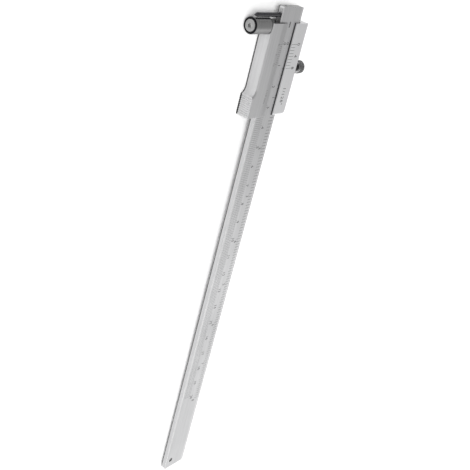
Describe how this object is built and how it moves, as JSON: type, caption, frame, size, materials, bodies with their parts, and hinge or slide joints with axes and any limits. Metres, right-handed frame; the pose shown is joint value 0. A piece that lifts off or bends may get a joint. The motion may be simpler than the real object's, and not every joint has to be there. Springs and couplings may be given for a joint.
{
  "type": "vernier marking gauge",
  "caption": "Flat steel marking gauge: a graduated beam with a scribing needle, and a slider with verniers, a guide roller, a ridged thumb rest and a knurled lock screw.",
  "frame": {"origin": "middle of the slider's flat back face, at the rest setting", "axes": "+X along the beam from the needle towards the far end, +Y across the beam towards the lock screw, +Z out of the scale face"},
  "size_m": [0.266, 0.0439, 0.0078],
  "materials": {
    "satin_steel": "satin stainless steel with a fine lengthwise grain",
    "roller_steel": "ground hard steel",
    "screw_steel": "turned steel",
    "dark_hard_steel": "dark ground hard steel",
    "bronze": "plain bearing bronze"
  },
  "bodies": {
    "beam": {"beam": "satin_steel", "scriber_needle": "dark_hard_steel", "needle_screw": "screw_steel", "stop_screw": "screw_steel"},
    "slider": {"slider": "satin_steel", "gib_strip": "bronze", "gib_screws": "screw_steel", "roller_axle": "roller_steel", "roller_washer": "roller_steel"},
    "roller": {"guide_roller": "roller_steel", "roller_bushes": "bronze"},
    "lock_screw": {"lock_screw": "screw_steel"}
  },
  "joints": [
    {"name": "slider_slide", "type": "slide", "parent": "beam", "child": "slider", "axis": [1, 0, 0], "range_m": [-0.0001, 0.209]},
    {"name": "roller_spin", "type": "hinge", "parent": "slider", "child": "roller", "pos_m": [-0.0199, -0.01915, 0.00385], "axis": [0, 1, 0], "continuous": true},
    {"name": "lock_turn", "type": "hinge", "parent": "slider", "child": "lock_screw", "pos_m": [-0.00045, 0.0155, 0.00475], "axis": [0, 1, 0], "range_deg": [0, 270]}
  ]
}
